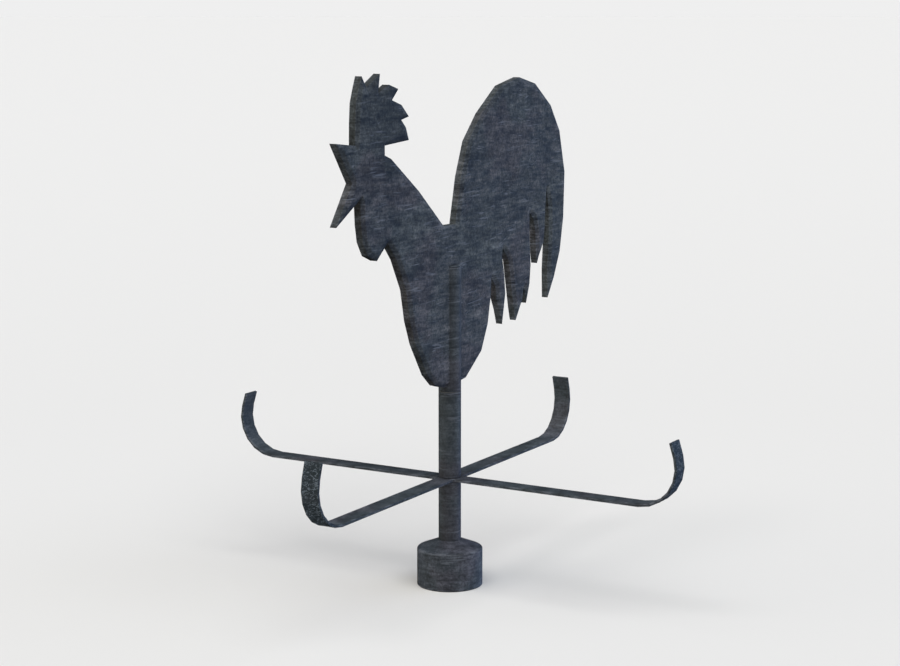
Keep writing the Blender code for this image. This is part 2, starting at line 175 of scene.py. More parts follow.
class Nodes:
    """Short way to write a material's node tree."""

    def __init__(self, name):
        self.material = bpy.data.materials.new(name)
        self.material.use_nodes = True
        self.tree = self.material.node_tree
        self.tree.nodes.clear()
        self.place = self.add("ShaderNodeTexCoord").outputs["Object"]

    def add(self, kind, links=(), **settings):
        """A node of this kind; links gives its inputs a value or another node's output."""
        node = self.tree.nodes.new(kind)
        for key, value in settings.items():
            setattr(node, key, value)
        for socket, value in dict(links).items():
            self.feed(node.inputs[socket], value)
        return node

    def feed(self, socket, value):
        if isinstance(value, bpy.types.NodeSocket):
            self.tree.links.new(value, socket)
        else:
            socket.default_value = value

    def math(self, operation, a, b=0.0):
        return self.add("ShaderNodeMath", {0: a, 1: b}, operation=operation).outputs[0]

    def vector(self, operation, a, b=(0, 0, 0)):
        return self.add("ShaderNodeVectorMath", {0: a, 1: b}, operation=operation)

    def attribute(self, name):
        return self.add("ShaderNodeAttribute", attribute_name=name).outputs["Fac"]

    def stretched(self, scale, turn=(0, 0, 0), detail=2.0, rough=0.5, warp=0.0):
        """Noise with its own scale along each axis, so that it makes streaks."""
        turned = self.add("ShaderNodeMapping", {"Vector": self.place, "Rotation": turn})
        scaled = self.add("ShaderNodeMapping", {"Vector": turned.outputs[0], "Scale": scale})
        texture = self.add("ShaderNodeTexNoise", {
            "Vector": scaled.outputs[0], "Scale": 1.0, "Detail": detail, "Roughness": rough,
            "Distortion": warp})
        return texture.outputs["Fac"]

    def between(self, value, low, high, to_low=0.0, to_high=1.0):
        """Maps low..high to to_low..to_high, smoothly and clamped."""
        node = self.add("ShaderNodeMapRange", {
            "Value": value, "From Min": low, "From Max": high, "To Min": to_low,
            "To Max": to_high}, interpolation_type="SMOOTHSTEP")
        return node.outputs[0]

    def vary(self, pattern, amount):
        """A factor that swings about 1 as the pattern swings about 0.5."""
        node = self.add("ShaderNodeMath", {0: pattern, 1: amount, 2: 1 - amount / 2},
                        operation="MULTIPLY_ADD")
        return node.outputs[0]

    def scaled(self, tone, factor):
        return self.add("ShaderNodeVectorMath", {0: tone, "Scale": factor},
                        operation="SCALE").outputs[0]

    def mix(self, amount, a, b):
        node = self.add("ShaderNodeMix", data_type="RGBA")
        self.feed(node.inputs[0], amount)
        self.feed(node.inputs[6], a)
        self.feed(node.inputs[7], b)
        return node.outputs[2]

    def finish(self, links, bump=None, depth=0.1 * MM, strength=1.0, **values):
        """The surface shader and the material output, with relief from bump."""
        shader = self.add("ShaderNodeBsdfPrincipled", links)
        for key, value in values.items():
            shader.inputs[key.replace("_", " ")].default_value = value
        if bump is not None:
            normal = self.add("ShaderNodeBump", {
                "Height": bump, "Distance": depth, "Strength": strength})
            self.tree.links.new(normal.outputs[0], shader.inputs["Normal"])
        output = self.add("ShaderNodeOutputMaterial")
        self.tree.links.new(shader.outputs[0], output.inputs[0])
        return self.material


def colour(red, green, blue):
    return (red, green, blue, 1.0)


def grey(level):
    return colour(level, level, level)


def tint(shade, r, g, b):
    """A colour lightened by a part's shade."""
    return colour(r * shade[0], g * shade[1], b * shade[2])


def metal_grain(n):
    """Patterns of the dark metal, each swinging about 0.5."""
    return {
        "brushed": n.stretched((60, 60, 355), turn=(0, -0.03, 0), detail=3, rough=0.66),
        "upright": n.stretched((150, 150, 85), detail=2, rough=0.6),
        "mottle": n.stretched((38, 38, 62), detail=4, rough=0.62),
        "smear": n.stretched((10, 10, 90), detail=3, rough=0.6),
        "grit": n.stretched((430, 430, 430), detail=2),
    }


def metal_body(n, grain, shade, contrast):
    """The dark finish itself, with stained and bloomed clouds."""
    tone = 1.0
    for name, swing in TONE_SWING.items():
        tone = n.math("MULTIPLY", tone, n.vary(grain[name], swing * contrast))
    body = n.mix(n.between(tone, 0.4, 1.8), tint(shade, *DARK_TINT), tint(shade, *LIGHT_TINT))
    stain = n.stretched((10, 10, 14), turn=(0.3, 0.4, 0.2), detail=3, rough=0.55)
    body = n.mix(n.between(stain, 0.36, 0.64, 0, 0.7), body, tint(shade, *STAIN_TINT))
    bloom = n.stretched((12, 12, 16), turn=(1, 0, 0.5), detail=3)
    body = n.mix(n.between(bloom, 0.50, 0.62, 0, 0.6), body, tint(shade, *BLOOM_TINT))
    return n.scaled(body, tone)


def scratched(n):
    """Pale lines in three directions, gathered in patches."""
    marks = 0.0
    for tilt, scale, least, patch in SCRATCHES:
        turn = (0, tilt, 0)
        lines = n.stretched(scale, turn=turn, detail=3, rough=0.6)
        patches = n.stretched(patch, turn=turn, detail=3)
        layer = n.math("MULTIPLY", n.between(lines, least, least + 0.12),
                       n.between(patches, 0.52, 0.62))
        marks = n.math("MAXIMUM", marks, layer)
    return marks


def rubbed_bare(n, grain, contrast):
    """Where the dark finish is rubbed through: scratches, and brush marks on worn edges."""
    edges = n.math("MULTIPLY", n.attribute("edge"), n.between(grain["brushed"], 0.49, 0.61))
    return n.math("MAXIMUM", n.math("MULTIPLY", scratched(n), SCRATCH_SHOWS * contrast),
                  n.math("MULTIPLY", edges, EDGE_SHOWS))


def darker_place(n, skin, dark_patch):
    """Darkens the skin round a centre; the patch is given as (centre, inner reach, outer reach,
    depth).
    """
    centre, inner, outer, depth = dark_patch
    away = n.vector("DISTANCE", n.place, centre).outputs["Value"]
    return n.scaled(skin, n.between(away, inner, outer, 1 - depth, 1))


def paint_side_shade(n, skin):
    """Painted shade and light: darkens the side of a turned piece that looks towards a set bearing
    and lightens the rest, as the light falls.
    """
    level = n.vector("MULTIPLY", n.place, (1, 1, 0)).outputs[0]
    outward = n.vector("NORMALIZE", level).outputs[0]
    way = (math.cos(PAINTED_SHADE_SIDE), math.sin(PAINTED_SHADE_SIDE), 0)
    facing = n.vector("DOT_PRODUCT", outward, way).outputs["Value"]
    return n.scaled(skin, n.between(facing, 0.60, 1.0, *PAINTED_SIDE_RANGE))


def forge_scale_and_painted_light(n, skin, height):
    """Black forge scale with painted shade, and painted glints, on the outer faces of the hooks;
    inner faces are painted paler, as painted light.
    """
    hooked = n.attribute("forged")
    ripples = n.stretched((240, 240, 430), turn=(0.25, 0.25, 0), detail=2, warp=1.6)
    relief = n.math("MULTIPLY", n.math("MULTIPLY", ripples, hooked), 1.2)
    # outer faces darker: partly forge scale, partly painted shade; inner faces painted paler, as
    # painted light
    skin = n.scaled(skin, n.math("SUBTRACT", 1.0, n.math("MULTIPLY", hooked, 0.30)))
    skin = n.mix(n.math("MULTIPLY", hooked, 0.62), skin, FORGE_SCALE_AND_SHADE)
    # painted highlights: glints on the outer faces
    glints = n.math("MULTIPLY", n.between(ripples, 0.51, 0.62), hooked)
    skin = n.mix(n.math("MULTIPLY", glints, 0.85), skin, PAINTED_GLINT)
    return skin, n.math("ADD", height, relief)


def dark_metal(name, shade, contrast, forged=False, dark_patch=None, turned=False):
    """Blackened, blue-grey metal: level brush marks, cross strokes, mottling, pale scratches."""
    n = Nodes(name)
    grain = metal_grain(n)
    bare = rubbed_bare(n, grain, contrast)
    skin = n.mix(bare, metal_body(n, grain, shade, contrast), BARE_METAL)
    # painted shade where the plate itself hides the sky from its rim
    painted_shade = n.math("MULTIPLY", n.attribute("painted_shade"), PAINTED_SHADE_DEPTH)
    skin = n.scaled(skin, n.math("SUBTRACT", 1.0, painted_shade))
    if dark_patch:
        skin = darker_place(n, skin, dark_patch)
    # painted shade on one side of each turned piece and painted light on the rest, as the light
    # falls
    if turned:
        skin = paint_side_shade(n, skin)

    height = n.math("MULTIPLY", bare, -0.15)
    for pattern, share in RELIEF_SHARE.items():
        height = n.math("ADD", height, n.math("MULTIPLY", grain[pattern], share))
    if forged:
        skin, height = forge_scale_and_painted_light(n, skin, height)
    rough = n.math("SUBTRACT", n.between(grain["brushed"], 0.30, 0.70, 0.44, 0.62),
                   n.math("MULTIPLY", bare, 0.16))
    return n.finish({"Base Color": skin, "Roughness": rough}, bump=height,
                    depth=RELIEF_DEPTH * contrast, strength=0.8, Specular_IOR_Level=0.25)


def bright_metal(name, base, rough=0.32):
    """Machined metal with turning marks and light staining."""
    n = Nodes(name)
    rings = n.stretched((60, 60, 2200), detail=2)
    stain = n.stretched((70, 70, 70), detail=4, rough=0.65)
    dark = colour(*(0.55 * part for part in base))
    skin = n.mix(n.between(stain, 0.35, 0.75), colour(*base), dark)
    skin = n.mix(n.between(rings, 0.35, 0.7, 0, 0.35), skin, dark)
    roughness = n.between(stain, 0.3, 0.7, rough, rough + 0.22)
    return n.finish({"Base Color": skin, "Roughness": roughness}, bump=rings, depth=0.05 * MM,
                    strength=0.5, Metallic=1.0)


def grey_nylon(name):
    """Moulded nylon, slightly mottled and matt."""
    n = Nodes(name)
    cloud = n.stretched((120, 120, 120), detail=4)
    rings = n.stretched((80, 80, 2500), detail=1)
    skin = n.mix(n.between(cloud, 0.3, 0.7), colour(0.075, 0.080, 0.090),
                 colour(0.115, 0.120, 0.130))
    return n.finish({"Base Color": skin, "Roughness": n.between(cloud, 0.3, 0.7, 0.5, 0.68)},
                    bump=rings, depth=0.04 * MM, strength=0.4)


def floor_material():
    """Matt paper, a little paler far away, as on a lit backdrop."""
    n = Nodes("studio_floor")
    far = n.vector("LENGTH", n.place).outputs["Value"]
    near = n.math("EXPONENT", n.math("MULTIPLY", n.math("SUBTRACT", far, 1.2), -0.42))
    lift = n.math("MULTIPLY_ADD", n.math("MINIMUM", near, 1.0), -BACKDROP_LIFT)
    lift.node.inputs[2].default_value = 1 + BACKDROP_LIFT
    skin = n.scaled(grey(FLOOR_SHADE)[:3], lift)
    return n.finish({"Base Color": skin}, Roughness=1.0, Specular_IOR_Level=0.0)


# ---- mesh helpers ----------------------------------------------------------------------------

def new_object(name, bm, mat):
    """An object of the bmesh, with its faces turned outward."""
    bmesh.ops.recalc_face_normals(bm, faces=bm.faces)
    mesh = bpy.data.meshes.new(name)
    bm.to_mesh(mesh)
    bm.free()
    mesh.materials.append(mat)
    thing = bpy.data.objects.new(name, mesh)
    bpy.context.collection.objects.link(thing)
    return thing


def shade(thing, degrees=34):
    """Smooth shading that stays sharp at edges steeper than this."""
    thing.data.shade_smooth()
    thing.data.set_sharp_from_angle(angle=math.radians(degrees))


def stands_for(piece, body, slot, *nodes):
    """Ties a piece to its body and hides the CAD nodes that it stands for; slot is not used."""
    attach(piece, body)
    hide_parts(*nodes)


def cut(thing, cutter):
    """Cuts one mesh with another and removes the cutter."""
    boolean = thing.modifiers.new("cut", "BOOLEAN")
    boolean.operation = "DIFFERENCE"
    boolean.solver = "EXACT"
    boolean.object = cutter
    bpy.context.view_layer.update()
    graph = bpy.context.evaluated_depsgraph_get()
    mesh = bpy.data.meshes.new_from_object(thing.evaluated_get(graph))
    thing.modifiers.clear()
    old = thing.data
    thing.data = mesh
    bpy.data.meshes.remove(old)
    bpy.data.objects.remove(cutter)


def cutting_shape(bm):
    """A shape for cut(), which removes it again."""
    mesh = bpy.data.meshes.new("cutter")
    bm.to_mesh(mesh)
    bm.free()
    thing = bpy.data.objects.new("cutter", mesh)
    bpy.context.collection.objects.link(thing)
    return thing


def rod(radius, low, high, centre=(0, 0), sides=BORE_SIDES):
    """Upright cutter from height low to height high."""
    bm = bmesh.new()
    bmesh.ops.create_cone(bm, cap_ends=True, segments=sides, radius1=radius, radius2=radius,
                          depth=high - low)
    bmesh.ops.translate(bm, verts=bm.verts, vec=(centre[0], centre[1], (low + high) / 2))
    return cutting_shape(bm)


def block(low, high):
    """Box-shaped cutter between two opposite corners."""
    bm = bmesh.new()
    bmesh.ops.create_cube(bm, size=1)
    bmesh.ops.scale(bm, verts=bm.verts, vec=Vector(high) - Vector(low))
    bmesh.ops.translate(bm, verts=bm.verts, vec=(Vector(low) + Vector(high)) / 2)
    return cutting_shape(bm)


def rounded(profile, radius, steps=4):
    """The (radius, height, rounding) profile with round corners, as (point, is a corner) pairs."""
    out = []
    count = len(profile)
    for i, (r, z, share) in enumerate(profile):
        here = Vector((r, z))
        if not share:
            out.append((here, 0.0))
            continue
        before = Vector(profile[i - 1][:2])
        after = Vector(profile[(i + 1) % count][:2])
        reach = min(radius * share, 0.45 * (before - here).length, 0.45 * (after - here).length)
        start = here + (before - here).normalized() * reach
        end = here + (after - here).normalized() * reach
        for k in range(steps + 1):
            t = k / steps
            out.append((start.lerp(here, t).lerp(here.lerp(end, t), t), 1.0))
    return out


def lathe(name, profile, mat, radius, ripple=FINE_RIPPLE, seed=0.0):
    """Turns a closed profile about Z, with slight turning waves; its corners are marked as worn."""
    bm = bmesh.new()
    edge = bm.verts.layers.float.new("edge")
    line = rounded(profile, radius)
    verts = []
    for (a, worn), (b, _) in zip(line, line[1:] + line[:1]):
        pieces = max(1, round((b - a).length / TURN_LENGTH))
        for k in range(pieces):
            point = a.lerp(b, k / pieces)
            vert = bm.verts.new((point.x, 0, point.y))
            vert[edge] = 0.0 if k else worn
            verts.append(vert)
    edges = [bm.edges.new(pair) for pair in zip(verts, verts[1:] + verts[:1])]
    bmesh.ops.spin(bm, geom=verts + edges, axis=(0, 0, 1), cent=(0, 0, 0),
                   angle=2 * math.pi, steps=TURN_STEPS, use_merge=True)
    bmesh.ops.remove_doubles(bm, verts=bm.verts, dist=1e-6)
    for vert in bm.verts:
        flat = Vector((vert.co.x, vert.co.y, 0))
        if flat.length > TINY:
            wave = noise.noise(Vector((flat.x * 25, flat.y * 25, vert.co.z * 60 + seed)))
            vert.co -= flat.normalized() * ripple * (0.5 + 0.5 * wave)
    thing = new_object(name, bm, mat)
    shade(thing)
    return thing


def radius_of(node):
    low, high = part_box(node)
    return (high.x - low.x) / 2


# ---- stand -----------------------------------------------------------------------------------

def foot(mat):
    """Round foot: upright wall, shallow cone up to the post, pocket and screw holes below."""
    low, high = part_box("base_foot")
    outer = radius_of("base_foot")
    socket = radius_of("lower_post") + GAP
    piece = lathe("foot_casting", [
        (socket, high.z, 0.6),
        (outer, FOOT_WALL, 1.6),
        (outer, low.z, 1.2),
        (POCKET_R, low.z, 0.6),
        (POCKET_R, POCKET_DEPTH, 0.6),
        (SPINDLE_HOLE_R, POCKET_DEPTH, 0.4),
        (SPINDLE_HOLE_R, SOCKET_FLOOR, 0.4),
        (socket, SOCKET_FLOOR, 0.4),
    ], mat, radius=1.0 * MM, ripple=FOOT_RIPPLE)
    for i in range(FIXING_HOLES):
        angle = math.pi / 2 + 2 * math.pi * i / FIXING_HOLES
        centre = (FIXING_CIRCLE_R * math.cos(angle), FIXING_CIRCLE_R * math.sin(angle))
        cut(piece, rod(FIXING_HOLE_R, -MM, FIXING_DEPTH, centre, 32))
    shade(piece)
    stands_for(piece, "stand", "dark_steel", "base_foot")


def tube(name, node, body, mat, seed):
    """A plain tube of the CAD node's size."""
    low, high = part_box(node)
    outer = radius_of(node)
    piece = lathe(name, [
        (POST_BORE_R, high.z, 0.5),
        (outer, high.z, 1.0),
        (outer, low.z, 1.0),
        (POST_BORE_R, low.z, 0.5),
    ], mat, radius=0.3 * MM, seed=seed)
    stands_for(piece, body, "dark_steel", node)
    return piece


def flange(mat):
    """Turned bearing plug whose rim shows as a thin ring in the post."""
    low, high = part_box("bearing_plug")
    outer = radius_of("bearing_plug")
    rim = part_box("upper_post")[1].z + GAP
    neck = POST_BORE_R - GAP
    piece = lathe("bearing_flange", [
        (SPINDLE_HOLE_R, high.z, 0.5),
        (outer, high.z, 1.0),
        (outer, rim, 1.0),
        (neck, rim, 0),
        (neck, low.z, 0.6),
        (SPINDLE_HOLE_R, low.z, 0.5),
    ], mat, radius=0.4 * MM, seed=7)
    stands_for(piece, "stand", "dark_steel", "bearing_plug")


def hook_line(tip):
    """Half a bar's upper face as (along, height) corners, level and then up round the hook."""
    corners = [Vector((0, 0))]
    for i in range(HOOK_FLATS + 1):
        angle = HOOK_TURN * i / HOOK_FLATS
        corners.append(Vector((HOOK_START + HOOK_R * math.sin(angle),
                               HOOK_R * (1 - math.cos(angle)))))
    onward = Vector((math.cos(HOOK_TURN), math.sin(HOOK_TURN)))
    corners.append(corners[-1] + onward * tip)
    return corners


def below(corners, distance):
    """The same line moved to the bar's lower side, with mitred corners."""
    runs = [(b - a).normalized() for a, b in zip(corners, corners[1:])]
    moved = []
    for corner, before, after in zip(corners, runs[:1] + runs, runs + runs[-1:]):
        middle = (before + after).normalized()
        sideways = Vector((middle.y, -middle.x))
        moved.append(corner + sideways * distance / middle.dot(after))
    return moved


def stations(line):
    """Points along a half bar, close together on the hook and wider on the straight."""
    spots = []
    for i, (a, b) in enumerate(zip(line, line[1:])):
        pieces = ARM_SPANS if i == 0 else HOOK_SPANS
        spots += [a.lerp(b, k / pieces) for k in range(pieces)]
    spots.append(line[-1].lerp(line[-2], 0.02))
    spots.append(line[-1])
    return spots


def whole_bar(low_half, high_half):
    """Stations from a bar's low end, through its middle, to its high end."""
    return [Vector((-spot.x, spot.y)) for spot in low_half[:0:-1]] + high_half


def bar_section(half, thick):
    """Round-cornered section as (side, depth, is a corner), once round the bar."""
    ring = []
    for turn, (side, depth) in enumerate((
            (half - ARM_CORNER, ARM_CORNER), (half - ARM_CORNER, thick - ARM_CORNER),
            (ARM_CORNER - half, thick - ARM_CORNER), (ARM_CORNER - half, ARM_CORNER))):
        for k in range(4):
            angle = math.pi / 2 * (turn + k / 3)
            ring.append((side + ARM_CORNER * math.sin(angle),
                         depth - ARM_CORNER * math.cos(angle), 1.0))
        if turn % 2:
            spread = (half - ARM_CORNER) * (1 if turn == 3 else -1)
            level = 0 if turn == 3 else thick
            ring += [(spread * (2 * k / ARM_ROWS - 1), level, 0.0) for k in range(1, ARM_ROWS)]
    return ring


def hammer(point):
    """Depth of overlapping hammer marks, 0 at their rims and 1 in the middle of a mark."""
    distances, _ = noise.voronoi(point / DIMPLE)
    return max(0.0, 1.0 - 1.3 * distances[0])


def bar_point(p, q, side, depth, thick, bend):
    """A point on the bar between its upper line's p and lower line's q, sunk by hammer marks."""
    lower = depth > thick / 2
    spot = p.lerp(q, depth / thick)
    place = Vector((spot.x, side, spot.y))
    mark = hammer(Vector((spot.x, side + 9 * MM * lower, spot.y)))
    sink = DIMPLE_DEPTH * mark * (0.25 + 0.75 * bend * (1.0 if lower else 0.35))
    sink += BAR_WAVE * (1 + noise.noise(place * 60))
    inward = (p - q).normalized() * (1 if lower else -1)
    return place + Vector((inward.x, 0, inward.y)) * sink


def bar_skin(half, thick, tips):
    """Mesh of a bar along X with both ends hooked, its straight upper face at height 0."""
    lines = [hook_line(tip) for tip in tips]
    inner = whole_bar(*[stations(line) for line in lines])
    outer = whole_bar(*[stations(below(line, thick)) for line in lines])
    ring = bar_section(half, thick)
    bm = bmesh.new()
    # forged: forge scale and painted shade on a hook's outer face, painted light on its inner face
    forged = bm.verts.layers.float.new("forged")
    edge = bm.verts.layers.float.new("edge")
    loops = []
    for i, (p, q) in enumerate(zip(inner, outer)):
        reach = abs(p.x + q.x) / 2
        bend = min(1.0, max(0.0, (reach - HOOK_START + BEND_FADE[0]) / BEND_FADE[1]))
        inset = END_INSET if i in (0, len(inner) - 1) else 0.0
        loop = []
        for side, depth, corner in ring:
            lower = depth > thick / 2
            side -= math.copysign(inset, side)
            depth += -inset if lower else inset
            if corner:
                spot = p.lerp(q, depth / thick)
                vert = bm.verts.new((spot.x, side, spot.y))
            else:
                vert = bm.verts.new(bar_point(p, q, side, depth, thick, bend))
            vert[forged] = bend if lower else INNER_PAINTED_LIGHT * bend
            vert[edge] = corner
            loop.append(vert)
        loops.append(loop)
    for a, b in zip(loops, loops[1:]):
        for k in range(len(ring)):
            bm.faces.new((a[k - 1], a[k], b[k], b[k - 1]))
    bm.faces.new(loops[0])
    bm.faces.new(loops[-1])
    return bm


def arm(name, node, along_x, mat):
    """Forged flat bar, hooked at both ends and halved where it crosses the other bar."""
    low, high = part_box(node)
    half = (high.y - low.y if along_x else high.x - low.x) / 2
    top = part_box("upper_post")[0].z - GAP
    thick = top - low.z
    bm = bar_skin(half, thick, HOOK_TIPS_X if along_x else HOOK_TIPS_Y)
    turn = Matrix.Rotation(0 if along_x else math.pi / 2, 4, "Z")
    bmesh.ops.transform(bm, verts=bm.verts, matrix=Matrix.Translation((0, 0, top)) @ turn)
    piece = new_object(name, bm, mat)

    reach = half + GAP
    middle = top - thick / 2
    if along_x:
        cut(piece, block((-reach, -reach, middle - GAP / 2), (reach, reach, top + MM)))
    else:
        cut(piece, block((-reach, -reach, low.z - MM), (reach, reach, middle + GAP / 2)))
    cut(piece, rod(SPINDLE_HOLE_R, low.z - MM, top + MM, sides=48))
    shade(piece, 26)
    stands_for(piece, "stand", "dark_steel", node)


# ---- rooster ---------------------------------------------------------------------------------

def rim_land(mesh):
    """Half the thickness of the plate at its rim, found at the far end of the tail."""
    reach = max(vertex.co.x for vertex in mesh.vertices)
    return max(abs(v.co.y) for v in mesh.vertices if v.co.x > reach - TINY)


def rim_links(mesh, land):
    """Each corner of the front rim, as {rounded place: {rounded place: corner} next to it}."""
    bore = radius_of("rotor_tube") + GAP
    spots = [vertex.co.copy() for vertex in mesh.vertices]
    links = {}

    def key(point):
        return (round(point.x / TINY), round(point.z / TINY))

    for polygon in mesh.polygons:
        if abs(polygon.normal.y) > 0.01:
            continue
        ids = list(polygon.vertices)
        for a, b in zip(ids, ids[1:] + ids[:1]):
            p, q = spots[a], spots[b]
            level = abs(p.y + land) < TINY and abs(q.y + land) < TINY
            in_bore = math.hypot(p.x, p.y) < bore + TINY and math.hypot(q.x, q.y) < bore + TINY
            if level and not in_bore and key(p) != key(q):
                links.setdefault(key(p), {})[key(q)] = q
                links.setdefault(key(q), {})[key(p)] = p
    return links


def rim_outline(mesh, land):
    """Corners of the plate's front rim, read from the CAD mesh, in order from one end to the other.

    The rim is open where the tube passes through it.
    """
    links = rim_links(mesh, land)
    places = {}
    for near in links.values():
        for spot, point in near.items():
            places[spot] = Vector((point.x, point.z))
    chain = [next(spot for spot, near in links.items() if len(near) == 1)]
    while True:
        onward = [spot for spot in links[chain[-1]] if spot not in chain[-2:]]
        if not onward or onward[0] == chain[0]:
            break
        chain.append(onward[0])
    return [places[spot] for spot in chain]


def only_corners(points):
    """Leaves out points that lie on the straight line between their neighbours."""
    kept = []
    count = len(points)
    for i, point in enumerate(points):
        before = (point - points[i - 1]).normalized()
        after = (points[(i + 1) % count] - point).normalized()
        if before.angle(after) > math.radians(0.4):
            kept.append(point)
    return kept


def area_of(points):
    """Area inside the points, negative if they run clockwise."""
    return 0.5 * sum(a.x * b.y - b.x * a.y for a, b in zip(points, points[1:] + points[:1]))


class Rim:
    """The plate's outline: how far many points are from it, and which are inside it."""

    def __init__(self, corners):
        self.start = np.array(corners)
        self.run = np.roll(self.start, -1, axis=0) - self.start
        self.long = (self.run ** 2).sum(1)

    def distance(self, points):
        to_point = points[:, None, :] - self.start[None]
        along = np.clip((to_point * self.run).sum(2) / self.long, 0, 1)
        gap = to_point - self.run * along[..., None]
        return np.sqrt((gap ** 2).sum(2).min(1))

    def inside(self, points):
        x, y = points[:, 0], points[:, 1]
        within = np.zeros(len(points), bool)
        for (ax, ay), (bx, by) in zip(self.start, np.roll(self.start, -1, axis=0)):
            crosses = (ay > y) != (by > y)
            where = np.where(crosses, (bx - ax) * (y - ay) / (by - ay + 1e-12) + ax, -1e9)
            within ^= crosses & (x < where)
        return within


def rise_at(distance, bevel):
    """How far up the bevel a point is, 0 at the rim and 1 on the face, with a softened crest."""
    t = np.clip(distance / bevel, 0, 1.4)
    soft = 0.09
    near_top = (t > 1 - soft) & (t < 1 + soft)
    blend = 1 - (1 + soft - t) ** 2 / (4 * soft)
    return np.where(near_top, blend, np.clip(t, 0, 1))


def sheltered(rim, spots, outward):
    """How far the plate itself hides each rim spot from the sky, 0 where open to 1."""
    open_sky = np.zeros(len(spots))
    full_sky = 0.0
    for angle in np.radians(np.arange(7.5, 180, 15)):
        way = np.array([math.cos(angle), math.sin(angle)])
        share = np.clip(outward @ way, 0, None)
        full_sky += max(0.0, way[0])
        free = np.ones(len(spots), bool)
        for reach in SHELTER_STEPS:
            free &= ~rim.inside(spots + way * reach * MM)
        open_sky += share * free
    return 1 - np.clip(open_sky / full_sky, 0, 1)


def rim_spots(corners):
    """Points close together along the outline, and the way inward at each."""
    border = []
    inward = []
    for i, (a, b) in enumerate(zip(corners, corners[1:] + corners[:1])):
        pieces = max(1, round((b - a).length / RIM_STEP))
        run = (b - a).normalized()
        before = (a - corners[i - 1]).normalized()
        for k in range(pieces):
            border.append(a.lerp(b, k / pieces))
            along = run if k else (run + before).normalized()
            inward.append(Vector((-along.y, along.x)))
    return border, inward


def bevel_spots(rim, border, inward):
    """Rows of points inside the outline that follow the bevel."""
    spots = []
    wanted = []
    for ring in BEVEL_RINGS:
        depth = ring * MM
        spots += [tuple(p + n * depth) for p, n in zip(border, inward)]
        wanted += [depth] * len(border)
    spots = np.array(spots)
    good = rim.inside(spots) & (rim.distance(spots) > 0.97 * np.array(wanted))
    return spots[good]


def face_spots(rim, low, high):
    """A triangular grid of points over the plate's flat middle."""
    columns = np.arange(low.x, high.x, FACE_STEP)
    levels = np.arange(low.z, high.z, FACE_STEP * ROW_HEIGHT)
    spots = np.array([(x + (FACE_STEP / 2 if j % 2 else 0), z)
                      for j, z in enumerate(levels) for x in columns])
    spots = spots[rim.inside(spots)]
    return spots[rim.distance(spots) > (BEVEL_RINGS[-1] + 1.5) * MM]


class Casting:
    """Mesh of the plate: two faces over the same triangles, joined by a wall round the rim."""

    def __init__(self, rim, border, inward, inner):
        self.count = len(border)
        self.inward = inward
        self.edges = [(i, (i + 1) % self.count) for i in range(self.count)]
        points = border + [Vector(spot) for spot in inner]
        flat, _, self.faces, origin, _, _ = delaunay_2d_cdt(points, self.edges, [], 1, 1e-8)
        self.at = np.array([tuple(point) for point in flat])
        self.reach = rim.distance(self.at)
        self.on_rim = {source: index for index, sources in enumerate(origin)
                       for source in sources if source < self.count}
        self.paint_sky_shade(rim, np.array([tuple(point) for point in border]))
        self.bm = bmesh.new()
        self.edge = self.bm.verts.layers.float.new("edge")
        # painted shade, where the plate hides the sky from its own rim
        self.painted_shade = self.bm.verts.layers.float.new("painted_shade")

    def paint_sky_shade(self, rim, places):
        """Painted shade at each rim point and face point: where the plate hides the sky, ahead of
        the post, near the rim.
        """
        ahead_of_post = np.clip(-places[:, 0] / AHEAD_FADE, 0, 1)
        outward = -np.array([tuple(way) for way in self.inward])
        self.shelter = ahead_of_post * sheltered(rim, places, outward)
        closest = [int(np.argmin(((places - spot) ** 2).sum(1))) for spot in self.at]
        self.shade_share = self.shelter[closest] * np.clip(1 - self.reach / PAINTED_SHADE_REACH, 0, 1)

    def sheet(self, side, depths):
        """One face: side is -1 for the front and 1 for the back."""
        verts = []
        for (x, z), depth, reach, shade_share in zip(self.at, depths, self.reach, self.shade_share):
            dent = noise.noise(Vector((x * 38, side * 5, z * 46)))
            dent += 0.5 * noise.noise(Vector((x * 110, side * 9, z * 150)))
            fade = min(1.0, reach / (6 * MM))
            y = side * (depth - fade * CAST_WAVE * (1 + dent))
            vert = self.bm.verts.new((x, y, z))
            crest = 1.0 - abs(reach - BEVEL_WIDTH) / (1.4 * MM)
            vert[self.edge] = max(0.0, 1.0 - reach / (1.2 * MM), 0.75 * crest) * (1 - shade_share)
            # painted shade near the sheltered parts of the rim
            vert[self.painted_shade] = shade_share
            verts.append(vert)
        for face in self.faces:
            self.bm.faces.new([verts[i] for i in face])
        return [verts[self.on_rim[i]] for i in range(self.count)]

    def wall_row(self, near, far, t):
        """A row of points between the two faces' rims, slightly uneven."""
        row = []
        for i in range(self.count):
            spot = near[i].co.lerp(far[i].co, t)
            wave = 1 + noise.noise(Vector((spot.x * 60, spot.y * 90, spot.z * 420)))
            nudge = self.inward[i] * 0.10 * MM * wave
            row.append(self.bm.verts.new((spot.x + nudge.x, spot.y, spot.z + nudge.y)))
            # painted shade on the wall where the plate hides the sky
            row[-1][self.painted_shade] = self.shelter[i]
        return row

    def wall(self, near, far):
        """Joins the rims of the two faces."""
        rows = [near] + [self.wall_row(near, far, t) for t in WALL_ROWS] + [far]
        for one, two in zip(rows, rows[1:]):
            for a, b in self.edges:
                self.bm.faces.new((one[a], one[b], two[b], two[a]))


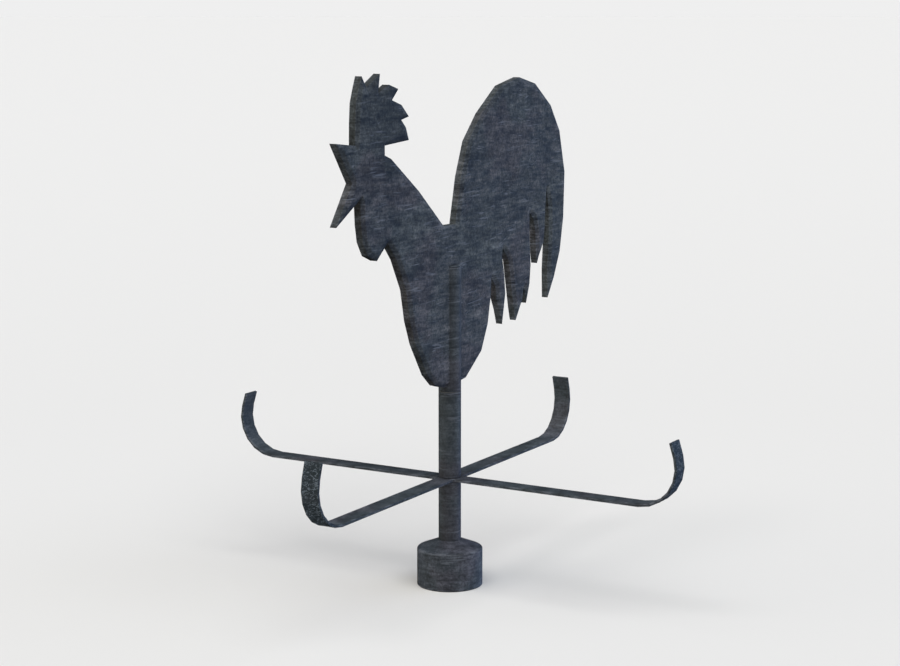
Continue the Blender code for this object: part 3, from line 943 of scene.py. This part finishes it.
def rooster(mat):
    """Cast plate with a bevelled rim and softly uneven faces, slotted for the tube."""
    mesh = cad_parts["rooster_plate"].data
    land = rim_land(mesh)
    corners = only_corners(rim_outline(mesh, land))
    if area_of(corners) < 0:
        corners.reverse()
    low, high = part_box("rooster_plate")
    full = (high.y - low.y) / 2
    rim = Rim([tuple(corner) for corner in corners])
    border, inward = rim_spots(corners)
    inner = np.vstack([bevel_spots(rim, border, inward), face_spots(rim, low, high)])
    casting = Casting(rim, border, inward, inner[thin_out(inner, LEAST_SPACING)])
    depths = land + (full - land) * rise_at(casting.reach, BEVEL_WIDTH)
    casting.wall(casting.sheet(-1, depths), casting.sheet(1, depths))

    piece = new_object("rooster_casting", casting.bm, mat)
    bore = radius_of("rotor_tube") + GAP
    cut(piece, rod(bore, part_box("upper_post")[1].z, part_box("rotor_cap")[1].z + GAP))
    shade(piece, 24)
    stands_for(piece, "rooster", "cast_plate", "rooster_plate")


def thin_out(points, least):
    """Indices of points that are at least this far from the ones kept before them."""
    seen = {}
    kept = []
    for index, (x, y) in enumerate(points):
        column, row = int(x // least), int(y // least)
        near = [spot for i in (-1, 0, 1) for j in (-1, 0, 1)
                for spot in seen.get((column + i, row + j), ())]
        if all((a - x) ** 2 + (b - y) ** 2 >= least ** 2 for a, b in near):
            seen.setdefault((column, row), []).append((x, y))
            kept.append(index)
    return kept


def rotor(mat):
    """The tube that carries the rooster, its cap and the hole for the retaining screw."""
    low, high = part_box("rotor_tube")
    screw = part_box("retaining_screw")
    piece = tube("rotor_sleeve", "rotor_tube", "rooster", mat, seed=3)
    middle = (screw[0] + screw[1]) / 2
    hole = rod((screw[1].x - screw[0].x) / 2 + GAP, 0, high.x * 2, sides=32)
    hole.matrix_world = Matrix.Translation((middle.x, 0, middle.z)) @ Matrix.Rotation(
        -math.pi / 2, 4, "X")
    cut(piece, hole)
    shade(piece)
    low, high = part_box("rotor_cap")
    outer = radius_of("rotor_cap")
    neck = POST_BORE_R - GAP
    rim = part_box("rotor_tube")[1].z + GAP
    cap = lathe("rotor_end_cap", [
        (AXIS_R, high.z, 0),
        (outer, high.z, 1.4),
        (outer, rim, 0.6),
        (neck, rim, 0),
        (neck, low.z, 0.8),
        (AXIS_R, low.z, 0),
    ], mat, radius=0.6 * MM, seed=5)
    stands_for(cap, "rooster", "dark_steel", "rotor_cap")


# ---- studio ----------------------------------------------------------------------------------

def paint(materials):
    """Gives the CAD nodes that stay their materials."""
    for node, mat in materials.items():
        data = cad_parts[node].data
        data.materials.clear()
        data.materials.append(mat)


def camera():
    data = bpy.data.cameras.new("camera")
    data.sensor_width = 36
    data.lens = CAMERA_LENS
    data.clip_end = 200
    thing = bpy.data.objects.new("camera", data)
    bpy.context.collection.objects.link(thing)
    thing.location = (CAMERA_DISTANCE * math.cos(CAMERA_BEARING),
                      CAMERA_DISTANCE * math.sin(CAMERA_BEARING), CAMERA_HEIGHT)
    thing.rotation_euler = (math.pi / 2 + CAMERA_PITCH, 0, CAMERA_HEADING - math.pi / 2)
    bpy.context.scene.camera = thing


def lamps():
    """Large soft suns, placed round the object from the camera's right-hand side."""
    right = CAMERA_HEADING - math.pi / 2
    for name, (bearing, elevation, disc, strength, hue) in LAMPS.items():
        data = bpy.data.lights.new(name, "SUN")
        data.energy = strength
        data.color = hue
        data.angle = math.radians(disc)
        thing = bpy.data.objects.new(name, data)
        bpy.context.collection.objects.link(thing)
        turn = right + math.radians(bearing)
        rise = math.radians(elevation)
        to_lamp = Vector((math.cos(turn) * math.cos(rise), math.sin(turn) * math.cos(rise),
                          math.sin(rise)))
        thing.rotation_euler = to_lamp.to_track_quat("Z", "Y").to_euler()


def toward(tree, ways, axis, low, high):
    """How nearly a way out of the scene runs along an axis, from 0 at low to 1 at high."""
    along = tree.nodes.new("ShaderNodeVectorMath")
    along.operation = "DOT_PRODUCT"
    along.inputs[1].default_value = axis
    tree.links.new(ways, along.inputs[0])
    share = tree.nodes.new("ShaderNodeMapRange")
    share.interpolation_type = "SMOOTHSTEP"
    share.inputs["From Min"].default_value = low
    share.inputs["From Max"].default_value = high
    tree.links.new(along.outputs["Value"], share.inputs["Value"])
    return share.outputs[0]


def blend(tree, kind, amount, a, b):
    """Mixes two colours of the sky; each input is a value or another node's output."""
    node = tree.nodes.new("ShaderNodeMix")
    node.data_type = "RGBA"
    node.blend_type = kind
    for socket, value in ((0, amount), (6, a), (7, b)):
        if isinstance(value, bpy.types.NodeSocket):
            tree.links.new(value, node.inputs[socket])
        else:
            node.inputs[socket].default_value = value
    return node.outputs[2]


def sky():
    """A pale backdrop for the camera; as a light, soft from above with a cool and a warm side."""
    world = bpy.data.worlds.new("studio")
    world.use_nodes = True
    tree = world.node_tree
    ways = tree.nodes.new("ShaderNodeTexCoord").outputs["Generated"]
    above = toward(tree, ways, (0, 0, 1), 0.45, 0.70)
    light = blend(tree, "MIX", above, colour(0, 0, 0), grey(SKY_ABOVE))
    for bearing, glow in SIDE_GLOWS.values():
        turn = CAMERA_HEADING - math.pi / 2 + math.radians(bearing)
        side = toward(tree, ways, (math.cos(turn), math.sin(turn), 0), 0.45, 0.95)
        light = blend(tree, "ADD", side, light, colour(*glow))
    rays = tree.nodes.new("ShaderNodeLightPath").outputs["Is Camera Ray"]
    seen = blend(tree, "MIX", rays, light, grey(SKY_SEEN))
    tree.links.new(seen, tree.nodes["Background"].inputs["Color"])
    bpy.context.scene.world = world


def floor():
    """A wide floor that the metal doesn't mirror."""
    bm = bmesh.new()
    bmesh.ops.create_grid(bm, x_segments=1, y_segments=1, size=FLOOR_SIZE / 2)
    thing = new_object("studio_floor", bm, floor_material())
    thing.visible_glossy = False


def build():
    cast = dark_metal("cast_plate_skin", PLATE_SHADE, contrast=0.72, dark_patch=HEAD_PATINA)
    steel = dark_metal("dark_steel_skin", TUBE_SHADE, contrast=0.40, turned=True)
    sleeve = dark_metal("sleeve_skin", SLEEVE_SHADE, contrast=0.42, turned=True)
    iron = dark_metal("foot_iron_skin", FOOT_SHADE, contrast=0.55, dark_patch=CONE_DARKENING,
                      turned=True)
    forged = dark_metal("forged_steel_skin", ARM_SHADE, contrast=0.5, forged=True)
    bright = bright_metal("bright_steel_skin", (0.52, 0.53, 0.55))
    bronze = bright_metal("bronze_skin", (0.50, 0.33, 0.16), rough=0.38)
    nylon = grey_nylon("nylon_skin")

    foot(iron)
    tube("lower_tube", "lower_post", "stand", steel, seed=11)
    tube("upper_tube", "upper_post", "stand", steel, seed=13)
    flange(steel)
    arm("forged_arm_x", "cross_arm_x", True, forged)
    arm("forged_arm_y", "cross_arm_y", False, forged)
    rotor(sleeve)
    rooster(cast)
    paint({
        "foot_washer": bright, "foot_nut": bright, "lower_post_plug": bright,
        "upper_post_plug": bright, "clamp_washer": bright, "clamp_nut": bright,
        "spindle": bright, "retaining_screw": bright, "thrust_ball": bright,
        "thrust_pad": bright, "lower_bush": bronze, "upper_bush": bronze,
        "dust_washer": nylon,
    })

    floor()
    lamps()
    sky()
    camera()
    bpy.context.scene.view_settings.view_transform = "Standard"


build()
